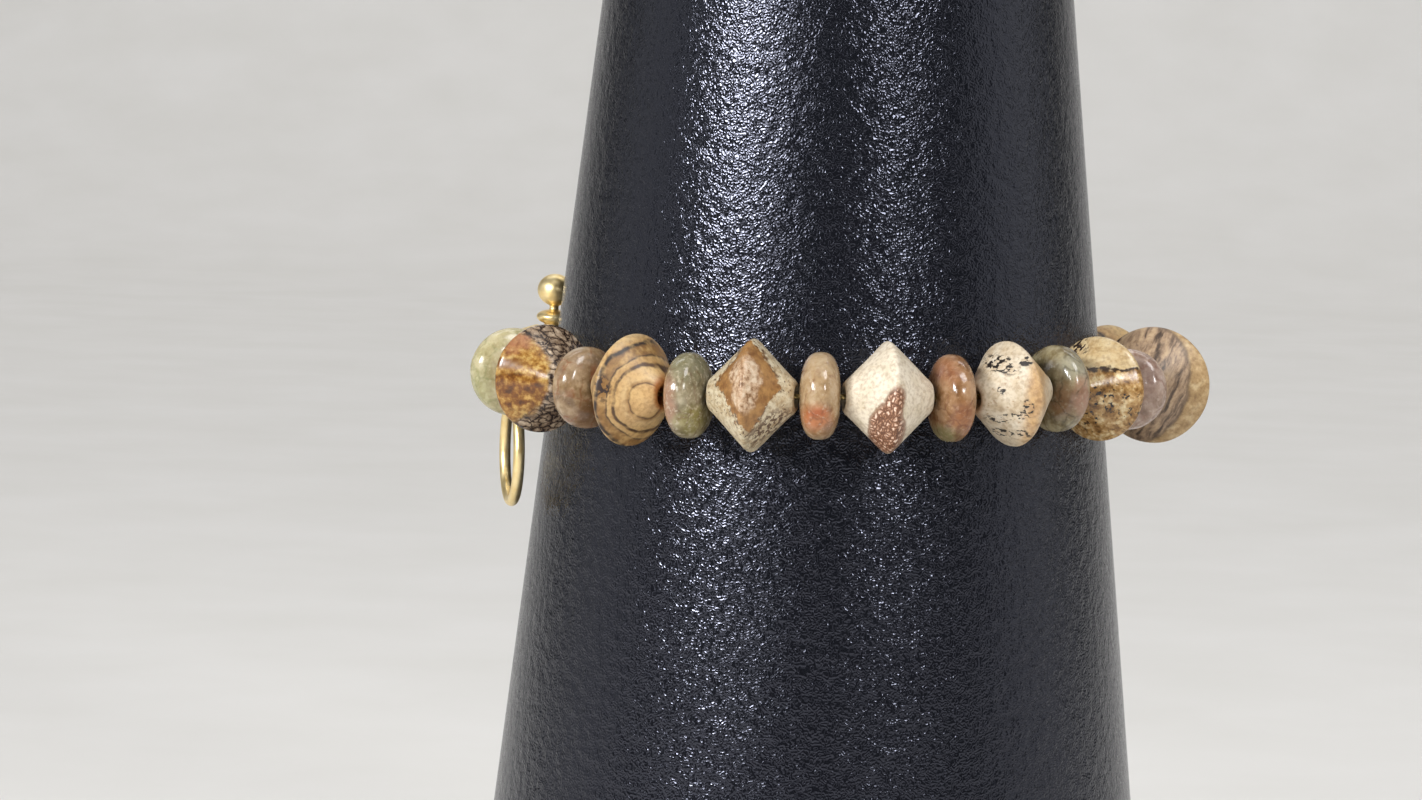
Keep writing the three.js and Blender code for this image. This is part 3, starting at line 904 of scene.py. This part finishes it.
def strand_place(angle, reach, height=0.0):
    """A place from its angle round the strand, reach and height, all in millimetres."""
    t = math.radians(angle)
    return STRAND_CENTRE + MM * Vector((reach * math.sin(t), -reach * math.cos(t), height))


def wire_tree():
    """Geometry nodes that give a closed path a round wire, fine enough to look drawn."""
    tree, given = new_shaper("round_wire", Wire_Radius="Float", Metal="Material")
    path = node(tree, "GeometryNodeMeshToCurve", {"Mesh": given["Geometry"]})
    section = node(
        tree,
        "GeometryNodeCurvePrimitiveCircle",
        {"Resolution": 20, "Radius": given["Wire Radius"]},
        mode="RADIUS",
    )
    body = node(tree, "GeometryNodeCurveToMesh", {"Curve": path, "Profile Curve": section})
    real = node(tree, "GeometryNodeRealizeInstances", {"Geometry": body})
    dressed = node(tree, "GeometryNodeSetMaterial", {"Geometry": real, "Material": given["Metal"]})
    node(tree, "NodeGroupOutput", {0: dressed})
    return tree


WIRE_TREE = wire_tree()


def wire_loop(path, radius):
    """A closed loop of round wire along a path, as a bmesh."""
    mesh = bpy.data.meshes.new("wire_path")
    mesh.from_pydata(path, [(i, (i + 1) % len(path)) for i in range(len(path))], [])
    maker = bpy.data.objects.new("wire_path", mesh)
    return grown(maker, WIRE_TREE, {"Wire Radius": radius, "Metal": GOLD})


def oval(half_length, half_width, steps=20):
    """A closed path in the XY plane: two half circles joined by straight sides along X."""
    straight = half_length - half_width
    path = []
    for end in (1, -1):
        for i in range(steps + 1):
            t = (i / steps - 0.5) * math.pi
            x = end * (straight + half_width * math.cos(t))
            path.append(Vector((x, end * half_width * math.sin(t), 0)) * MM)
    return path


def cast(name, solids, piece_name):
    """Runs overlapping solids together into one casting with softly filled joints."""
    joined = bpy.data.meshes.new("casting")
    first = solids[0]
    for other in solids[1:]:
        spare = bpy.data.meshes.new("spare")
        other.to_mesh(spare)
        first.from_mesh(spare)
        other.free()
    bmesh.ops.recalc_face_normals(first, faces=first.faces)
    first.to_mesh(joined)
    first.free()
    maker = bpy.data.objects.new("casting", joined)
    bpy.context.scene.collection.objects.link(maker)
    remesh = maker.modifiers.new("fuse", "REMESH")
    remesh.mode = "VOXEL"
    remesh.voxel_size = 0.07 * MM
    smooth = maker.modifiers.new("soften", "SMOOTH")
    smooth.factor = 0.5
    smooth.iterations = 6
    add_piece(piece_name, finished(maker), GOLD, name)


def level_turn(along):
    """The turn that takes X along a level way and Y upwards."""
    up = Vector((0, 0, 1))
    return Matrix((along, up, along.cross(up))).transposed().to_4x4()


def tangent_frame(angle, reach, height):
    """X runs along the strand at the angle, Y is up and Z points away from the cone."""
    t = math.radians(angle)
    turn = level_turn(Vector((math.cos(t), math.sin(t), 0)))
    return Matrix.Translation(strand_place(angle, reach, height)) @ turn


# lengths in millimetres and angles in degrees; "wire" is a wire's radius
RING = {"angle": -79, "reach": 29.95, "twist": 1.5, "drop": -8.45, "radius": 4.75, "wire": 0.55}
RING_LOOP = {"half_height": 1.9, "half_width": 1.2, "wire": 0.4, "drop": -1.5}


def toggle_ring():
    """The ring hangs free from its soldered loop, with its flat side to the cone."""
    steps = 96
    turns = [2 * math.pi * i / steps for i in range(steps)]
    round_path = [Vector((math.cos(t), math.sin(t), 0)) * RING["radius"] * MM for t in turns]
    lift = (RING_LOOP["drop"] - RING["drop"]) * MM
    upright_oval = oval(RING_LOOP["half_height"], RING_LOOP["half_width"])
    loop_path = [Vector((-p.y, p.x + lift, 0)) for p in upright_oval]
    pose = tangent_frame(RING["angle"], RING["reach"], RING["drop"])
    pose = pose @ Matrix.Rotation(math.radians(RING["twist"]), 4, "Y")
    solids = [
        wire_loop([pose @ p for p in round_path], RING["wire"] * MM),
        wire_loop([pose @ p for p in loop_path], RING_LOOP["wire"] * MM),
    ]
    cast("toggle_ring", solids, "hanging_toggle_ring")


# the bar's lean is in radians; its rod and neck are radii, in millimetres
BAR = {"angle": -108.5, "reach": 28.35, "lean": 0.044, "rod": 0.85, "neck": 0.45}
BAR_SWELLINGS = [
    {"name": "collar", "centre": 3.35, "half_height": 0.75, "radius": 1.68},
    {"name": "ball", "centre": 6.04, "half_height": 1.58, "radius": 1.75},
]
BAR_EYE = {"from": 28.9, "to": 33.1, "half_width": 1.1, "wire": 0.4}


def toggle_bar():
    """The bar stands upright behind the first beads. Its soldered eye meets the wire's eye."""
    collar, ball = BAR_SWELLINGS
    steps, sides = 31, 48
    upper = [(BAR["rod"], 0.0), (BAR["rod"], collar["centre"] - 0.93 * collar["half_height"])]
    for swelling in BAR_SWELLINGS:
        for i in range(2, steps):
            t = math.pi * i / steps
            last = swelling is ball and t > math.pi / 2
            radius = swelling["radius"] * math.sin(t)
            level = swelling["centre"] - swelling["half_height"] * math.cos(t)
            upper.append((radius if last else max(radius, BAR["neck"]), level))
    upper.append((0.0, ball["centre"] + ball["half_height"]))
    lower = [(r, -z) for r, z in reversed(upper[1:])]
    bar = turned([(r * MM, z * MM) for r, z in lower + upper], sides)
    middle = (BAR_EYE["from"] + BAR_EYE["to"]) / 2 - BAR["reach"]
    half = (BAR_EYE["to"] - BAR_EYE["from"]) / 2
    eye_path = [Vector((p.y, middle * MM + p.x, 0)) for p in oval(half, BAR_EYE["half_width"])]
    pose = Matrix.Translation(strand_place(BAR["angle"], BAR["reach"]))
    pose = pose @ Matrix.Rotation(math.radians(BAR["angle"] - 180), 4, "Z")
    bar.transform(pose @ Matrix.Rotation(BAR["lean"], 4, "X"))
    eye = wire_loop([pose @ p for p in eye_path], BAR_EYE["wire"] * MM)
    cast("toggle_bar", [bar, eye], "upright_toggle_bar")


# from the wire's eye to past the bar, each by its angle and reach
LINK = {"start": (-76, 32.35), "past": (-108.5, 30.1), "beyond": 2.5}
LINK |= {"half_height": 2.0, "wire": 0.5}


def clasp_link():
    """A plain oval link of round wire that the bar lies across, out of sight behind the beads."""
    start = strand_place(*LINK["start"])
    along = strand_place(*LINK["past"]) - start
    length = along.length + LINK["beyond"] * MM
    along.normalize()
    pose = Matrix.Translation(start + along * length / 2) @ level_turn(along)
    path = [pose @ p for p in oval(length / 2 / MM, LINK["half_height"])]
    cast("clasp_link", [wire_loop(path, LINK["wire"] * MM)], "oval_clasp_link")


toggle_ring()
toggle_bar()
clasp_link()


# ---- the backdrop and the lamps ------------------------------------------------------------------
# A seamless sweep of pale paper, four soft boxes in front, a screen at each side, a wide box
# overhead, and a lamp above the paper that lights its wall. None of the lamps is seen itself.


def paper():
    """Matt card with a faint uneven tone."""
    material, tree = new_material("pale_backdrop_card")
    place = node(tree, "ShaderNodeTexCoord").outputs["Object"]
    fibre = noise(tree, place, grain=40 * MM, detail=6.0)
    tint = ramp(tree, fibre, [(0.3, 0xDEDCD8), (0.7, 0xE3E1DE)])
    surfaced(tree, {"Base Color": tint, "Roughness": 0.8})
    return material


def backdrop():
    """Floor and wall in one sheet, with a wide bend between them. Lengths are in metres."""
    side, bend, start, height, steps = 2.5, 0.6, 1.2, 3.0, 16
    arc = [math.pi / 2 * i / steps for i in range(steps + 1)]
    section = [(-side, 0.0)]
    section += [(start + bend * math.sin(t), bend - bend * math.cos(t)) for t in arc]
    section += [(start + bend, height)]
    verts = [(x, y, z) for y, z in section for x in (-side, side)]
    faces = [(2 * i, 2 * i + 1, 2 * i + 3, 2 * i + 2) for i in range(len(section) - 1)]
    sheet = bpy.data.meshes.new("backdrop")
    sheet.from_pydata(verts, [], faces)
    sheet.polygons.foreach_set("use_smooth", [True] * len(sheet.polygons))
    sheet.materials.append(paper())
    made = bpy.data.objects.new("backdrop", sheet)
    bpy.context.scene.collection.objects.link(made)


backdrop()


def soft_box(name, azimuth, elevation, distance, size, power, aim=STRAND_CENTRE):
    """An oblong lamp that faces a point; azimuth 0 is on the camera's side, positive to the
    right. Distance and size are in metres, power in watts, and the angles in degrees."""
    lamp = bpy.data.lights.new(name, "AREA")
    lamp.shape = "RECTANGLE"
    lamp.size, lamp.size_y = size
    lamp.energy = power
    holder = bpy.data.objects.new(name, lamp)
    holder.visible_camera = False
    bpy.context.scene.collection.objects.link(holder)
    a, e = math.radians(azimuth), math.radians(elevation)
    away = Vector((math.sin(a) * math.cos(e), -math.cos(a) * math.cos(e), math.sin(e)))
    holder.location = aim + away * distance
    holder.rotation_euler = away.to_track_quat("Z", "Y").to_euler()


soft_box("left_soft_box", -28, 20, 1.1, (0.14, 0.17), 1.4)
soft_box("right_soft_box", 29, 24, 1.1, (0.15, 0.19), 2.9)
soft_box("far_left_soft_box", -45.5, 22, 0.6, (0.15, 0.11), 2.9)
soft_box("high_right_soft_box", 50, 56, 1.0, (0.40, 0.40), 4.4)
soft_box("left_screen", -92, 16, 1.2, (0.9, 0.9), 1.2)
soft_box("right_screen", 90, 18, 1.2, (0.9, 0.8), 1.6)
soft_box("overhead_soft_box", 0, 72, 1.2, (0.9, 0.6), 1.5)
soft_box("backdrop_lamp", 0, 50, 1.4, (2.0, 0.8), 19, aim=Vector((0, 1.8, 0.7)))

world = bpy.data.worlds.new("studio")
world.use_nodes = True
room_light = world.node_tree.nodes["Background"].inputs
room_light["Color"].default_value = linear(0xC9CDD4)
room_light["Strength"].default_value = 0.14
bpy.context.scene.world = world
bpy.context.scene.view_settings.view_transform = "Standard"
